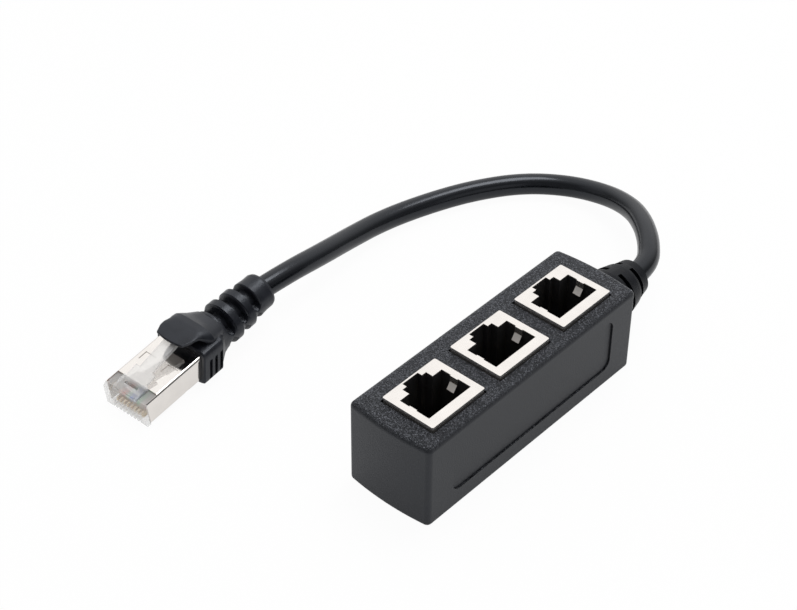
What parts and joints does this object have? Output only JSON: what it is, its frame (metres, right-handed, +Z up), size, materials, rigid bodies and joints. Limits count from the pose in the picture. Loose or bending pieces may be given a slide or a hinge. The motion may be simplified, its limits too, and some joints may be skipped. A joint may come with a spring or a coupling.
{
  "type": "network splitter adapter",
  "caption": "Network splitter adapter: a black box with a row of shielded sockets in its top and a short cable that ends in a shielded plug.",
  "frame": {"origin": "middle of the underside of the box", "axes": "+Z up, out of the sockets; +Y along the box to the end that the cable leaves; +X to the contact side of the sockets"},
  "size_m": [0.0738, 0.1232, 0.0213],
  "materials": {
    "housing_plastic": "satin, fine grain on the top",
    "cover_plastic": "satin",
    "board": "lacquered",
    "relief_vinyl": "satin",
    "cable_vinyl": "glossy",
    "conductor_insulation": "smooth",
    "boot_vinyl": "satin",
    "plug_metal": "bright nickel",
    "plug_clear": "clear, moulded",
    "jack_metal": "bright nickel",
    "insulator_plastic": "matt",
    "contact_gold": "gold plated",
    "wire_white_orange": "smooth",
    "wire_orange": "smooth",
    "wire_white_green": "smooth",
    "wire_blue": "smooth",
    "wire_white_blue": "smooth",
    "wire_green": "smooth",
    "wire_white_brown": "smooth",
    "wire_brown": "smooth"
  },
  "bodies": {
    "root": {"housing": "housing_plastic", "base_cover": "cover_plastic", "circuit_board": "board", "strain_relief": "relief_vinyl", "cable": "cable_vinyl", "cable_conductors": "conductor_insulation", "plug_boot": "boot_vinyl", "plug_shield": "plug_metal", "plug_body": "plug_clear", "jack_shield_1": "jack_metal", "jack_insulator_1": "insulator_plastic", "jack_1_contact_1": "contact_gold", "jack_1_contact_2": "contact_gold", "jack_1_contact_3": "contact_gold", "jack_1_contact_4": "contact_gold", "jack_1_contact_5": "contact_gold", "jack_1_contact_6": "contact_gold", "jack_1_contact_7": "contact_gold", "jack_1_contact_8": "contact_gold", "jack_shield_2": "jack_metal", "jack_insulator_2": "insulator_plastic", "jack_2_contact_1": "contact_gold", "jack_2_contact_2": "contact_gold", "jack_2_contact_3": "contact_gold", "jack_2_contact_4": "contact_gold", "jack_2_contact_5": "contact_gold", "jack_2_contact_6": "contact_gold", "jack_2_contact_7": "contact_gold", "jack_2_contact_8": "contact_gold", "jack_shield_3": "jack_metal", "jack_insulator_3": "insulator_plastic", "jack_3_contact_1": "contact_gold", "jack_3_contact_2": "contact_gold", "jack_3_contact_3": "contact_gold", "jack_3_contact_4": "contact_gold", "jack_3_contact_5": "contact_gold", "jack_3_contact_6": "contact_gold", "jack_3_contact_7": "contact_gold", "jack_3_contact_8": "contact_gold", "plug_contact_1": "contact_gold", "plug_wire_1": "wire_white_orange", "plug_contact_2": "contact_gold", "plug_wire_2": "wire_orange", "plug_contact_3": "contact_gold", "plug_wire_3": "wire_white_green", "plug_contact_4": "contact_gold", "plug_wire_4": "wire_blue", "plug_contact_5": "contact_gold", "plug_wire_5": "wire_white_blue", "plug_contact_6": "contact_gold", "plug_wire_6": "wire_green", "plug_contact_7": "contact_gold", "plug_wire_7": "wire_white_brown", "plug_contact_8": "contact_gold", "plug_wire_8": "wire_brown"}
  },
  "joints": []
}
